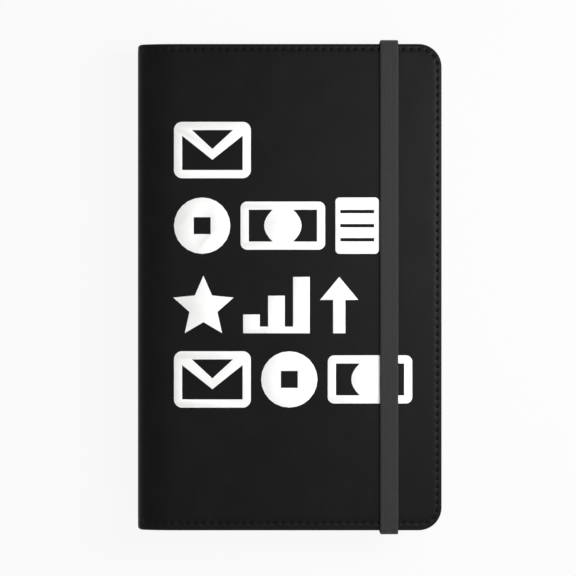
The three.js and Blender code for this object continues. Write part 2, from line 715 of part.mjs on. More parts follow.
binder.add(named('envelopes', envelopes(), paper));
binder.add(coverPrint());

export default binder;
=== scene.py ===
"""A soft black ring binder for savings envelopes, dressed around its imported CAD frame."""

import math
import random

import bmesh
import bpy
import numpy as np
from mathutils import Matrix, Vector, kdtree
from mathutils.geometry import delaunay_2d_cdt


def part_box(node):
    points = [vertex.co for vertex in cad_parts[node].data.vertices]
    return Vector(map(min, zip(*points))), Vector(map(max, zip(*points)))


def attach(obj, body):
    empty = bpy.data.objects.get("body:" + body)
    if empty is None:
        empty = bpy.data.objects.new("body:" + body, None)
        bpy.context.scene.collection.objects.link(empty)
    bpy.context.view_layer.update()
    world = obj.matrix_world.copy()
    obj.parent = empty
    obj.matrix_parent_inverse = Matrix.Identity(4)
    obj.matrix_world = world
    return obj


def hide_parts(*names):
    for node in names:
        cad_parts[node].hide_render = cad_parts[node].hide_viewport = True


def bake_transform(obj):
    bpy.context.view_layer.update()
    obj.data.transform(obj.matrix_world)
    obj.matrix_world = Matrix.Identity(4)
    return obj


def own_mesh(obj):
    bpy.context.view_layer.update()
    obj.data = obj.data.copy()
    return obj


bl_info = {
    "name": "Savings Envelope Binder",
    "version": (1, 0, 0),
    "blender": (4, 5, 0),
    "location": "View3D > Sidebar > Binder",
    "description": "Builds the leather, band, rings and envelopes of a ring binder",
    "category": "Object",
}

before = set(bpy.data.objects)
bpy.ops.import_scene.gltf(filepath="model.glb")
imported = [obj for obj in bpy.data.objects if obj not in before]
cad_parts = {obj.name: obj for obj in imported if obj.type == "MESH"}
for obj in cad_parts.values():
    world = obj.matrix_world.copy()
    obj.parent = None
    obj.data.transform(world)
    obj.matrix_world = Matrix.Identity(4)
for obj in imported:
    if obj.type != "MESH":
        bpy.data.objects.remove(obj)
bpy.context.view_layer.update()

MM = 0.001
COVER_LOW, COVER_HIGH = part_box("front_cover")
BACK_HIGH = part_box("back_cover")[1]
BAND_LOW, BAND_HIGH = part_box("elastic_band")
RAIL_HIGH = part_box("ring_rail")[1]
BLOCK_LOW, BLOCK_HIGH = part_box("envelopes")
SPINE_X = COVER_LOW.x
HALF_HEIGHT = COVER_HIGH.y
CLOSED = COVER_HIGH.z
THICKNESS = BACK_HIGH.z
SPINE_THICKNESS = 2 * MM
SEAM_Z = 6.5 * MM
FORE_RADIUS = 9 * MM
SIDES = ("left", "right")
RING_COUNT = 6


# Materials


def shader(name):
    """A new material, its node tree and its main shader."""
    material = bpy.data.materials.new(name)
    material.use_nodes = True
    tree = material.node_tree
    tree.nodes.clear()
    output = tree.nodes.new("ShaderNodeOutputMaterial")
    main = tree.nodes.new("ShaderNodeBsdfPrincipled")
    tree.links.new(main.outputs["BSDF"], output.inputs["Surface"])
    return material, tree, main


def fill(node, **values):
    """Sets a node's inputs, each named with underscores for the spaces in its label."""
    for name, value in values.items():
        node.inputs[name.replace("_", " ")].default_value = value


def toned(colour, share):
    """A colour made darker or lighter by a factor."""
    return [part * share for part in colour]


def object_space(tree):
    return tree.nodes.new("ShaderNodeTexCoord").outputs["Object"]


def noise(tree, scale, detail, place=None):
    """A cloudy value from 0 to 1, at the object's own coordinates unless a place is given."""
    node = tree.nodes.new("ShaderNodeTexNoise")
    fill(node, Scale=scale, Detail=detail)
    tree.links.new(object_space(tree) if place is None else place, node.inputs["Vector"])
    return node.outputs["Fac"]


def combine(tree, operation, first, second):
    """One value worked out from two."""
    node = tree.nodes.new("ShaderNodeMath")
    node.operation = operation
    tree.links.new(first, node.inputs[0])
    tree.links.new(second, node.inputs[1])
    return node.outputs["Value"]


def tint(tree, value, low, high, start=0.3, end=0.7):
    """A colour ramp between two colours."""
    node = tree.nodes.new("ShaderNodeValToRGB")
    for element, position, colour in zip(node.color_ramp.elements, (start, end), (low, high)):
        element.position = position
        element.color = (*colour, 1)
    tree.links.new(value, node.inputs["Fac"])
    return node.outputs["Color"]


def blended(tree, base, colour, share):
    """A base colour turned towards another colour by a share."""
    node = tree.nodes.new("ShaderNodeMix")
    node.data_type = "RGBA"
    node.inputs["B"].default_value = (*colour, 1)
    tree.links.new(share, node.inputs["Factor"])
    tree.links.new(base, node.inputs["A"])
    return node.outputs["Result"]


def stored(tree, label):
    """A value kept on the mesh's points."""
    node = tree.nodes.new("ShaderNodeAttribute")
    node.attribute_name = label
    return node.outputs["Fac"]


def varied(tree, main, middle, reach, scale, detail):
    """Roughness that wanders to both sides of a middle value."""
    node = tree.nodes.new("ShaderNodeMapRange")
    fill(node, To_Min=middle - reach, To_Max=middle + reach)
    tree.links.new(noise(tree, scale, detail), node.inputs["Value"])
    tree.links.new(node.outputs["Result"], main.inputs["Roughness"])


def emboss(tree, main, height, depth, strength, below=None):
    """Bumps the surface by a height, over another bump if one is given."""
    node = tree.nodes.new("ShaderNodeBump")
    fill(node, Distance=depth, Strength=strength)
    tree.links.new(height, node.inputs["Height"])
    if below is not None:
        tree.links.new(below, node.inputs["Normal"])
    tree.links.new(node.outputs["Normal"], main.inputs["Normal"])
    return node.outputs["Normal"]


def leather_finish(name, dark, light, roughness):
    """Smooth synthetic leather: fine pebbled grain, faint unevenness, a paler, rubbed rim, and painted shade
    in the stitch dimples.
    """
    material, tree, main = shader(name)
    mottled = tint(tree, noise(tree, scale=90, detail=3), dark, light)
    worn = combine(tree, "MULTIPLY", stored(tree, "rim"), noise(tree, scale=400, detail=5))
    rubbed = blended(tree, mottled, toned(light, 1.5), worn)
    # Painted shade: where the sewn value marks a stitch dimple, the leather is darkened almost to black,
    # standing in for the shadow in the needle hole.
    painted_hole_shade = blended(tree, rubbed, toned(dark, 0.2), stored(tree, "sewn"))
    tree.links.new(painted_hole_shade, main.inputs["Base Color"])
    varied(tree, main, roughness, reach=0.06, scale=260, detail=4)
    fill(main, Specular_IOR_Level=0.085)
    grain = tree.nodes.new("ShaderNodeTexVoronoi")
    grain.feature = "SMOOTH_F1"
    fill(grain, Scale=1500)
    tree.links.new(object_space(tree), grain.inputs["Vector"])
    pebbles = emboss(tree, main, grain.outputs["Distance"], depth=0.05 * MM, strength=0.35)
    emboss(tree, main, noise(tree, scale=140, detail=3), 0.25 * MM, strength=0.2, below=pebbles)
    return material


def elastic_finish(colour):
    """Woven elastic: lengthwise cords crossed by fine threads."""
    material, tree, main = shader("woven_elastic")
    weave = tree.nodes.new("ShaderNodeTexWave")
    weave.wave_type = "BANDS"
    weave.bands_direction = "Y"
    fill(weave, Scale=700, Distortion=0.6, Detail_Scale=2.0)
    tree.links.new(object_space(tree), weave.inputs["Vector"])
    fuzz = noise(tree, scale=3000, detail=2)
    shade = tint(tree, fuzz, toned(colour, 0.8), toned(colour, 1.2))
    tree.links.new(shade, main.inputs["Base Color"])
    fill(main, Roughness=0.85, Specular_IOR_Level=0.25, Sheen_Weight=0.25, Sheen_Roughness=0.5)
    threads = emboss(tree, main, weave.outputs["Fac"], depth=0.05 * MM, strength=0.5)
    emboss(tree, main, fuzz, depth=0.05 * MM, strength=0.3, below=threads)
    return material


def thread_finish(colour):
    """Waxed sewing thread with its twist showing."""
    material, tree, main = shader("waxed_thread")
    shade = tint(tree, noise(tree, scale=2500, detail=2), toned(colour, 0.5), colour)
    tree.links.new(shade, main.inputs["Base Color"])
    fill(main, Roughness=0.9, Specular_IOR_Level=0.08)
    emboss(tree, main, noise(tree, scale=4000, detail=2), depth=0.05 * MM, strength=0.5)
    return material


def nickel_finish():
    """Bright nickel plate with a little haze and unevenness."""
    material, tree, main = shader("nickel_plate")
    haze = noise(tree, scale=60, detail=3)
    shade = tint(tree, haze, low=(0.62, 0.62, 0.63), high=(0.78, 0.78, 0.79))
    tree.links.new(shade, main.inputs["Base Color"])
    fill(main, Metallic=1.0)
    varied(tree, main, middle=0.21, reach=0.09, scale=500, detail=5)
    emboss(tree, main, noise(tree, scale=1800, detail=3), depth=0.02 * MM, strength=0.25)
    return material


def kraft_finish():
    """Kraft paper: long pale and dark fibres on a warm brown."""
    material, tree, main = shader("kraft_paper")
    fibres = tree.nodes.new("ShaderNodeMapping")
    fill(fibres, Scale=(1.0, 0.22, 1.0))
    tree.links.new(object_space(tree), fibres.inputs["Vector"])
    streaks = noise(tree, scale=2400, detail=5, place=fibres.outputs["Vector"])
    shade = tint(tree, streaks, low=(0.36, 0.22, 0.11), high=(0.54, 0.35, 0.19), start=0.25, end=0.75)
    tree.links.new(shade, main.inputs["Base Color"])
    fill(main, Roughness=0.88)
    emboss(tree, main, streaks, depth=0.04 * MM, strength=0.4)
    return material


def film_finish(colour):
    """White transfer film, matt, taking a little of the leather's grain."""
    material, tree, main = shader("transfer_film")
    shade = tint(tree, noise(tree, scale=180, detail=3), toned(colour, 0.95), colour)
    tree.links.new(shade, main.inputs["Base Color"])
    fill(main, Roughness=0.55)
    emboss(tree, main, noise(tree, scale=1500, detail=3), depth=0.03 * MM, strength=0.3)
    return material


# Mesh helpers


def make_object(name, vertices, faces, material, smooth=True):
    """An object in the scene made from corners and faces."""
    mesh = bpy.data.meshes.new(name)
    mesh.from_pydata([tuple(v) for v in vertices], [], [tuple(f) for f in faces])
    mesh.validate()
    return show(name, mesh, material, smooth)


def show(name, mesh, material, smooth=True):
    """An object in the scene with a mesh of one material."""
    mesh.polygons.foreach_set("use_smooth", [smooth] * len(mesh.polygons))
    mesh.materials.clear()
    mesh.materials.append(material)
    obj = bpy.data.objects.new(name, mesh)
    bpy.context.scene.collection.objects.link(obj)
    return obj


def face_outward(obj, merge=0.0):
    """Turns every face outward, with corners closer than a distance joined where one is given."""
    work = bmesh.new()
    work.from_mesh(obj.data)
    if merge:
        bmesh.ops.remove_doubles(work, verts=work.verts, dist=merge)
    bmesh.ops.recalc_face_normals(work, faces=work.faces)
    work.to_mesh(obj.data)
    work.free()


def sharpen(obj, degrees):
    """Edges that turn more than this stay crisp, and the rest shade smooth."""
    work = bmesh.new()
    work.from_mesh(obj.data)
    limit = math.radians(degrees)
    for edge in work.edges:
        edge.smooth = len(edge.link_faces) == 2 and edge.calc_face_angle(0) < limit
    work.to_mesh(obj.data)
    work.free()


def apply_modifiers(obj):
    """Keeps the object's modifiers in its mesh."""
    bpy.context.view_layer.update()
    graph = bpy.context.evaluated_depsgraph_get()
    mesh = bpy.data.meshes.new_from_object(obj.evaluated_get(graph))
    obj.modifiers.clear()
    obj.data = mesh


def steps(first, last, size):
    """Evenly spaced values from first to last, no further apart than size."""
    count = max(1, math.ceil(abs(last - first) / size))
    return list(np.linspace(first, last, count + 1))


def neighbours(path, i):
    """The points before and after one point of a path, or the point itself at either end."""
    return path[max(i - 1, 0)], path[min(i + 1, len(path) - 1)]


def tube(name, rings, material):
    """A closed tube through rings of points, with both ends capped."""
    size = len(rings[0])
    vertices = [point for ring in rings for point in ring]
    last = (len(rings) - 1) * size
    faces = []
    for base in range(0, last, size):
        for j in range(size):
            k = (j + 1) % size
            faces.append((base + j, base + k, base + size + k, base + size + j))
    faces.append(tuple(range(size))[::-1])
    faces.append(tuple(range(last, last + size)))
    return make_object(name, vertices, faces, material)


MERGED = 0.001 * MM
FLAT_ANGLE = math.radians(0.5)
EASED_ANGLE = math.radians(30)


def dressed_copy(node, name, body, material, bevel, segments=2):
    """A piece made from a CAD node: merged, its edges eased, and shaded smooth up to its creases."""
    obj = show(name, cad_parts[node].data.copy(), material)
    obj.data.name = name
    work = bmesh.new()
    work.from_mesh(obj.data)
    bmesh.ops.remove_doubles(work, verts=work.verts, dist=MERGED)
    bmesh.ops.dissolve_limit(work, angle_limit=FLAT_ANGLE, verts=work.verts, edges=work.edges)
    work.to_mesh(obj.data)
    work.free()
    obj.data.polygons.foreach_set("use_smooth", [True] * len(obj.data.polygons))
    rounding = obj.modifiers.new("eased_edges", "BEVEL")
    rounding.width = bevel
    rounding.segments = segments
    rounding.limit_method = "ANGLE"
    rounding.angle_limit = EASED_ANGLE
    rounding.harden_normals = False
    apply_modifiers(obj)
    sharpen(obj, 35)
    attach(obj, body)
    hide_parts(node)
    return obj


# Leather covers


GROOVE_WIDTH, GROOVE_DEPTH = 0.7 * MM, 0.07 * MM
DIMPLE_WIDTH, DIMPLE_DEPTH = 0.8 * MM, 0.3 * MM
STITCH_REACH = 6 * MM
RIM_WIDTH, RIM_FALL = 2.2 * MM, 0.12 * MM
RUBBED_WIDTH = 2.4 * MM
DEEPEST_SHARE = 0.45
CREASE_SHARE, CREASE_WIDTH, CREASE_RISE = 0.42, 3.2 * MM, 0.6
THREAD_DEPTH = 0.33 * MM


class Wrap:
    """One cover and the part of the spine sewn on with it, as a strip laid flat from its fore-edge."""

    EDGE_STEPS = [v * MM for v in (0, 0.08, 0.25, 0.5, 0.8, 1.15, 1.5, 1.9, 2.3, 2.7, 3.2, 3.8)]
    EDGE_ROUND = 0.95 * MM
    FLAT_STEP, BEND_STEP, SPINE_STEP = 0.95 * MM, 0.5 * MM, 0.9 * MM
    SEAM_STEP, SEAM_TURN = 2 * MM, 0.15
    TOP_INSET, BOTTOM_INSET, SIDE_INSET = 2.1 * MM, 3.1 * MM, 1.7 * MM

    def __init__(self, face_z, up, roll, corner, pitch):
        self.face_z = face_z
        self.up = up
        self.roll = roll
        self.corner = corner
        self.pitch = pitch
        self.flat = COVER_HIGH.x - SPINE_X - roll
        self.bend = self.corner_points()
        self.bend_length = sum(math.dist(a[:2], b[:2]) for a, b in zip(self.bend, self.bend[1:]))
        self.spine_start = self.flat + self.bend_length
        self.length = self.spine_start + abs(face_z - SEAM_Z) - corner

    def corner_points(self, power=2.5, count=40):
        """The soft corner at the spine as (across, down, slope), across and down from where it starts."""
        points = []
        for angle in np.linspace(0, math.pi / 2, count + 1):
            across = self.roll * math.sin(angle) ** (2 / power)
            down = self.corner * (1 - math.cos(angle) ** (2 / power))
            points.append((across, down))
        turned = []
        for i, (across, down) in enumerate(points):
            before, after = neighbours(points, i)
            turned.append((across, down, math.atan2(after[1] - before[1], after[0] - before[0])))
        turned[0] = (*turned[0][:2], 0.0)
        turned[-1] = (*turned[-1][:2], math.pi / 2)
        return turned

    def place(self, s):
        """The outer face's point in X and Z, and its outward direction, at a distance from the fore-edge."""
        if s <= self.flat:
            return COVER_HIGH.x - s, self.face_z, (0.0, self.up)
        if s >= self.spine_start:
            below = self.corner + s - self.spine_start
            return SPINE_X, self.face_z - self.up * below, (-1.0, 0.0)
        gone = s - self.flat
        for a, b in zip(self.bend, self.bend[1:]):
            step = math.dist(a[:2], b[:2])
            if gone <= step:
                t = gone / step
                across, down, angle = (p + (q - p) * t for p, q in zip(a, b))
                x = SPINE_X + self.roll - across
                return x, self.face_z - self.up * down, (-math.sin(angle), self.up * math.cos(angle))
            gone -= step
        raise ValueError("a place past the end of the bend")

    def half_height(self, s):
        """Half the cover's height at a distance from the fore-edge, where its corners are round."""
        if s >= FORE_RADIUS:
            return HALF_HEIGHT
        return HALF_HEIGHT - FORE_RADIUS + math.sqrt(max(FORE_RADIUS**2 - (FORE_RADIUS - s) ** 2, 0))

    def edge_distance(self, s, y):
        """How far a flat place is from the cover's edge."""
        inner = HALF_HEIGHT - FORE_RADIUS
        if s < FORE_RADIUS and abs(y) > inner:
            return FORE_RADIUS - math.hypot(FORE_RADIUS - s, abs(y) - inner)
        return min(s, HALF_HEIGHT - abs(y))

    def thickness(self, s):
        """The leather and board, thinner at the spine and most of all in the fold's crease."""
        spine_share = min(max((s - self.flat) / self.bend_length, 0), 1)
        thick = THICKNESS + (SPINE_THICKNESS - THICKNESS) * spine_share
        fold = self.spine_start - CREASE_RISE * self.corner
        return thick * (1 - CREASE_SHARE * math.exp(-(((s - fold) / CREASE_WIDTH) ** 2)))

    def seam_corner(self, inset, sign):
        """The sewing line round one fore-edge corner, from the top or bottom edge to the side."""
        inner = HALF_HEIGHT - FORE_RADIUS
        arc = []
        for angle in steps(0, math.pi / 2, self.SEAM_TURN):
            radius = FORE_RADIUS - (inset + (self.SIDE_INSET - inset) * math.sin(angle))
            height = inner + radius * math.cos(angle)
            arc.append((FORE_RADIUS - radius * math.sin(angle), sign * height))
        return arc

    def stitch_path(self):
        """The sewing line from the spine, round the cover and back, as flat (s, y) points."""
        inner = HALF_HEIGHT - FORE_RADIUS
        along = steps(self.length, FORE_RADIUS, self.SEAM_STEP)
        points = [(s, HALF_HEIGHT - self.TOP_INSET) for s in along]
        points += self.seam_corner(self.TOP_INSET, 1)[1:]
        points += [(self.SIDE_INSET, y) for y in steps(inner, -inner, self.SEAM_STEP)[1:-1]]
        points += self.seam_corner(self.BOTTOM_INSET, -1)[::-1]
        along = steps(FORE_RADIUS, self.length, self.SEAM_STEP)[1:]
        return points + [(s, -HALF_HEIGHT + self.BOTTOM_INSET) for s in along]

    def stitch_centres(self):
        """The middles of evenly spaced stitches along the sewing line, as flat (s, y) points."""
        path = self.stitch_path()
        lengths = [0.0]
        for a, b in zip(path, path[1:]):
            lengths.append(lengths[-1] + math.dist(a, b))
        count = round(lengths[-1] / self.pitch)
        centres = []
        index = 0
        for i in range(count):
            wanted = (i + 0.5) * lengths[-1] / count
            while lengths[index + 1] < wanted:
                index += 1
            a, b = path[index], path[index + 1]
            t = (wanted - lengths[index]) / (lengths[index + 1] - lengths[index])
            centres.append((a[0] + (b[0] - a[0]) * t, a[1] + (b[1] - a[1]) * t))
        return centres

    def point(self, s, y, outward):
        """A point of space, a distance out of the outer face."""
        x, z, (nx, nz) = self.place(s)
        return Vector((x + nx * outward, y, z + nz * outward))

    def columns(self):
        """Distances from the fore-edge at which the leather has corners, closest at its edge and bend."""
        grid = [*self.EDGE_STEPS]
        grid += steps(grid[-1], self.flat, self.FLAT_STEP)[1:]
        grid += steps(self.flat, self.spine_start, self.BEND_STEP)[1:]
        return grid + steps(grid[-1], self.length, self.SPINE_STEP)[1:]

    def rows(self, s):
        """Heights of the corners at a distance from the fore-edge, as many for every distance."""
        half = self.half_height(s)
        margin = self.EDGE_STEPS[-1]
        count = math.ceil(2 * (HALF_HEIGHT - margin) / self.FLAT_STEP)
        inner = list(np.linspace(half - margin, -half + margin, count + 1))
        top = [half - e for e in self.EDGE_STEPS[:-1]]
        return top + inner + [-y for y in top[::-1]]


def search_tree(points):
    """Finds which of some flat (s, y) points is nearest."""
    tree = kdtree.KDTree(len(points))
    for i, (s, y) in enumerate(points):
        tree.insert((s, y, 0), i)
    tree.balance()
    return tree


def closeness(tree, s, y, width):
    """1 at a point of the tree, falling softly to 0 over about a width."""
    return math.exp(-((tree.find((s, y, 0))[2] / width) ** 2))


def sheet_faces(columns, rows):
    """Faces of a closed sheet: a grid of corners, the same grid again below it, and the edges between."""
    below = columns * rows
    faces = []
    for i in range(columns - 1):
        for j in range(rows - 1):
            a, b = i * rows + j, (i + 1) * rows + j
            faces.append((a, b, b + 1, a + 1))
            faces.append((below + a, below + a + 1, below + b + 1, below + b))
        a, b = i * rows, (i + 1) * rows
        faces.append((a, below + a, below + b, b))
        a, b = a + rows - 1, b + rows - 1
        faces.append((a, b, below + b, below + a))
    for j in range(rows - 1):
        faces.append((j, j + 1, below + j + 1, below + j))
        a = (columns - 1) * rows + j
        faces.append((a, below + a, below + a + 1, a + 1))
    return faces


def leather_cover(name, wrap, material):
    """Outer and inner faces with turned edges, a sewn groove and a dimple under each stitch, each dimple also
    stored as the sewn value that masks painted shade.
    """
    stitches = search_tree(wrap.stitch_centres())
    line = search_tree(wrap.stitch_path())
    columns = wrap.columns()
    outer, inner, rims, sewn = [], [], [], []
    for s in columns:
        thick = wrap.thickness(s)
        rows = wrap.rows(s)
        for y in rows:
            edge = max(wrap.edge_distance(s, y), 0)
            near, groove = 0.0, 0.0
            if edge < STITCH_REACH:
                near = closeness(stitches, s, y, DIMPLE_WIDTH)
                groove = GROOVE_DEPTH * closeness(line, s, y, GROOVE_WIDTH)
            share = max(0, 1 - edge / wrap.EDGE_ROUND)
            rounding = wrap.EDGE_ROUND * (1 - math.sqrt(max(1 - share * share, 0)))
            sunk = rounding + groove + near * DIMPLE_DEPTH
            rim = RIM_FALL * max(0, 1 - edge / RIM_WIDTH)
            outer.append(wrap.point(s, y, -min(sunk + rim, thick * DEEPEST_SHARE)))
            inner.append(wrap.point(s, y, -thick + min(sunk, thick * DEEPEST_SHARE)))
            rims.append(max(0.0, 1 - edge / RUBBED_WIDTH))
            # The sewn value marks each stitch dimple, where the leather's colour is given painted shade.
            sewn.append(near)
    faces = sheet_faces(len(columns), len(rows))
    if wrap.up < 0:
        faces = [face[::-1] for face in faces]
    obj = make_object(name, outer + inner, faces, material)
    # The sewn layer holds the mask for the painted shade in the needle holes.
    for label, values in (("rim", rims), ("sewn", sewn)):
        layer = obj.data.attributes.new(label, "FLOAT", "POINT")
        layer.data.foreach_set("value", np.array(values + values, np.float32))
    face_outward(obj)
    sharpen(obj, 50)
    return obj


def stitch_tree(material):
    """Geometry Nodes that lay short thread beads along a sewing line."""
    tree = bpy.data.node_groups.new("sewn_stitches", "GeometryNodeTree")
    face = tree.interface
    face.new_socket(name="Geometry", in_out="INPUT", socket_type="NodeSocketGeometry")
    for label, kind, value in (
        ("Count", "NodeSocketInt", 100),
        ("Stitch Length", "NodeSocketFloat", 2 * MM),
        ("Stitch Width", "NodeSocketFloat", 1.2 * MM),
        ("Stitch Height", "NodeSocketFloat", 0.5 * MM),
    ):
        face.new_socket(name=label, in_out="INPUT", socket_type=kind).default_value = value
    face.new_socket(name="Geometry", in_out="OUTPUT", socket_type="NodeSocketGeometry")
    nodes = tree.nodes
    start = nodes.new("NodeGroupInput")
    end = nodes.new("NodeGroupOutput")
    curve = nodes.new("GeometryNodeMeshToCurve")
    even = nodes.new("GeometryNodeResampleCurve")
    bead = nodes.new("GeometryNodeMeshUVSphere")
    fill(bead, Segments=8, Rings=6, Radius=0.5)
    size = nodes.new("ShaderNodeCombineXYZ")
    scaled = nodes.new("GeometryNodeTransform")
    direction = nodes.new("GeometryNodeInputTangent")
    turn = nodes.new("FunctionNodeAlignRotationToVector")
    turn.axis = "X"
    lay = nodes.new("GeometryNodeInstanceOnPoints")
    real = nodes.new("GeometryNodeRealizeInstances")
    smooth = nodes.new("GeometryNodeSetShadeSmooth")
    paint = nodes.new("GeometryNodeSetMaterial")
    fill(paint, Material=material)
    for source, output, target, socket in (
        (start, "Geometry", curve, "Mesh"),
        (curve, "Curve", even, "Curve"),
        (start, "Count", even, "Count"),
        (start, "Stitch Length", size, "X"),
        (start, "Stitch Width", size, "Y"),
        (start, "Stitch Height", size, "Z"),
        (bead, "Mesh", scaled, "Geometry"),
        (size, "Vector", scaled, "Scale"),
        (direction, "Tangent", turn, "Vector"),
        (even, "Curve", lay, "Points"),
        (scaled, "Geometry", lay, "Instance"),
        (turn, "Rotation", lay, "Rotation"),
        (lay, "Instances", real, "Geometry"),
        (real, "Geometry", smooth, "Geometry"),
        (smooth, "Geometry", paint, "Geometry"),
        (paint, "Geometry", end, "Geometry"),
    ):
        tree.links.new(source.outputs[output], target.inputs[socket])
    return tree


def sew(name, lines, tree, settings, material):
    """One mesh of stitches along several lines, with a stitch for each of their points."""
    sockets = {s.name: s.identifier for s in tree.interface.items_tree if s.in_out == "INPUT"}
    work = bmesh.new()
    for line in lines:
        mesh = bpy.data.meshes.new(name)
        mesh.from_pydata([tuple(p) for p in line], [(k, k + 1) for k in range(len(line) - 1)], [])
        obj = bpy.data.objects.new(name, mesh)
        bpy.context.scene.collection.objects.link(obj)
        beads = obj.modifiers.new("stitches", "NODES")
        beads.node_group = tree
        beads[sockets["Count"]] = len(line)
        beads[sockets["Stitch Length"]] = settings.stitch_length
        beads[sockets["Stitch Width"]] = settings.stitch_width
        beads[sockets["Stitch Height"]] = settings.stitch_height
        apply_modifiers(obj)
        work.from_mesh(obj.data)
        bpy.data.objects.remove(obj)
    joined = bpy.data.meshes.new(name)
    work.to_mesh(joined)
    work.free()
    return show(name, joined, material)


def front_wrap(settings):
    return Wrap(CLOSED, 1, settings.front_roll, settings.front_corner, settings.stitch_pitch)


def back_wrap(settings):
    return Wrap(0.0, -1, settings.back_corner, settings.back_corner, settings.stitch_pitch)


def cover_stitches(wrap):
    """The stitches on both faces of a cover's flat part, a line for each face."""
    centres = [c for c in wrap.stitch_centres() if c[0] <= wrap.flat]
    depths = (-THREAD_DEPTH, -THICKNESS + THREAD_DEPTH)
    return [[wrap.point(s, y, depth) for s, y in centres] for depth in depths]


def spine_stitches(wrap):
    """The stitches on the outside of the spine, a line for the top and one for the bottom."""
    centres = [c for c in wrap.stitch_centres() if c[0] >= wrap.spine_start]
    halves = [c for c in centres if c[1] >= 0], [c for c in centres if c[1] < 0]
    return [[wrap.point(s, y, -THREAD_DEPTH) for s, y in half] for half in halves if len(half) > 1]


# Elastic band


BAND_THICKNESS = 0.95 * MM
BAND_CORDS = 9
POINTS_PER_CORD = 6
BAND_SKIN = 0.5 * MM
BAND_TUCK = 7.5 * MM
LOW_BEND, HIGH_BEND = 1.3 * MM, 1.6 * MM
BAND_TURN = 0.26
SIDE_STEP, FACE_STEP = 3 * MM, 2.5 * MM
CORD_ROUNDNESS = 0.7
HALF_CORE_SHARE, CORD_SHARE = 0.225, 0.1


def band_path():
    """The band's middle line in Y and Z, from one tucked end over the front cover to the other."""
    low = BAND_LOW.z + BAND_SKIN
    high = BAND_HIGH.z - BAND_SKIN
    end = BAND_HIGH.y - BAND_SKIN
    half = [(HALF_HEIGHT - BAND_TUCK, low), (end - 3 * LOW_BEND, low)]
    for angle in steps(-math.pi / 2, 0, BAND_TURN):
        y = end - LOW_BEND + LOW_BEND * math.cos(angle)
        half.append((y, low + LOW_BEND + LOW_BEND * math.sin(angle)))
    half += [(end, z) for z in steps(low + 1.5 * LOW_BEND, high - 2 * LOW_BEND, SIDE_STEP)]
    for angle in steps(0, math.pi / 2, BAND_TURN):
        y = end - HIGH_BEND + HIGH_BEND * math.cos(angle)
        half.append((y, high - HIGH_BEND + HIGH_BEND * math.sin(angle)))
    half += [(y, high) for y in steps(end - 2 * HIGH_BEND, 0, FACE_STEP)]
    return half + [(-y, z) for y, z in half[-2::-1]]


def band_section(width):
    """A closed outline across the band: rounded sides and a row of lengthwise cords on both faces."""
    half = width / 2
    points = []
    count = BAND_CORDS * POINTS_PER_CORD
    for face in (1, -1):
        for i in range(count + 1):
            across = -half + width * i / count
            ripple = abs(math.sin(math.pi * i / POINTS_PER_CORD)) ** CORD_ROUNDNESS
            edge = min(1.0, (half - abs(across)) / BAND_SKIN)
            share = HALF_CORE_SHARE * (1 + math.sqrt(edge)) + CORD_SHARE * ripple * edge
            depth = BAND_THICKNESS * share
            points.append((across * face, depth * face))
    return points


def elastic_band(settings, material):
    path = band_path()
    section = band_section(settings.band_width)
    centre = (BAND_LOW.x + BAND_HIGH.x) / 2
    rings = []
    for i, (y, z) in enumerate(path):
        before, after = neighbours(path, i)
        along = Vector((0, after[0] - before[0], after[1] - before[1])).normalized()
        outward = Vector((1, 0, 0)).cross(along)
        rings.append([Vector((centre + across, y, z)) - outward * out for across, out in section])
    obj = tube("woven_band", rings, material)
    face_outward(obj, merge=0.002 * MM)
    sharpen(obj, 60)
    return obj


# Ring mechanism


WIRE_SIDES = 20
WIRE_STEP, TIP_STEP = 1.5 * MM, 0.5 * MM
RIGHT_BEND, RIGHT_TURN = 3 * MM, 0.16
LEFT_SHOULDER, LEFT_TURN = THICKNESS + 8 * MM, 0.06


def ring_points(side):
    """A half ring's middle line across and up, in the box of its CAD node, and the wire's radius."""
    low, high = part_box(f"ring_{side}_1")
    wire = (high.y - low.y) / 2
    top = high.z - wire
    if side == "right":
        leg = high.x - wire
        points = [(leg, z) for z in steps(low.z, top - RIGHT_BEND, WIRE_STEP)]
        for angle in steps(0, math.pi / 2, RIGHT_TURN)[1:]:
            x = leg - RIGHT_BEND + RIGHT_BEND * math.cos(angle)
            points.append((x, top - RIGHT_BEND + RIGHT_BEND * math.sin(angle)))
        points += [(x, top) for x in steps(leg - RIGHT_BEND, low.x, TIP_STEP)[1:]]
        return points, wire
    leg = low.x + wire
    tip = high.x
    points = [(leg, z) for z in steps(low.z, LEFT_SHOULDER, WIRE_STEP)]
    for angle in steps(0, math.pi / 2, LEFT_TURN)[1:]:
        rise = (top - LEFT_SHOULDER) * math.sin(angle)
        points.append((tip - (tip - leg) * math.cos(angle), LEFT_SHOULDER + rise))
    return points, wire


def half_ring(side, index, material):
    """One half of a D ring as smooth round wire."""
    low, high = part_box(f"ring_{side}_{index}")
    middle = (low.y + high.y) / 2
    points, wire = ring_points(side)
    across = Vector((0, 1, 0))
    rings = []
    for i, (x, z) in enumerate(points):
        before, after = neighbours(points, i)
        along = Vector((after[0] - before[0], 0, after[1] - before[1])).normalized()
        up = along.cross(across)
        ring = []
        for k in range(WIRE_SIDES):
            angle = 2 * math.pi * k / WIRE_SIDES
            offset = across * math.cos(angle) + up * math.sin(angle)
            ring.append(Vector((x, middle, z)) + offset * wire)
        rings.append(ring)
    obj = tube(f"{side}_ring_{index}", rings, material)
    face_outward(obj)
    sharpen(obj, 50)
    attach(obj, f"rings_{side}")
    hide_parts(f"ring_{side}_{index}")
    return obj


# Envelopes


HOLE_RADIUS = 2.8 * MM
HOLE_SLACK = 0.4 * MM


def hole_places():
    """The middle of each punched hole, read from the right half rings."""
    places = []
    for i in range(1, RING_COUNT + 1):
        low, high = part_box(f"ring_right_{i}")
        leg_left = high.x - (high.y - low.y)
        places.append((leg_left - HOLE_SLACK + HOLE_RADIUS, (low.y + high.y) / 2))
    return places


HOLES = hole_places()
RING_LEG = HOLES[0][0]

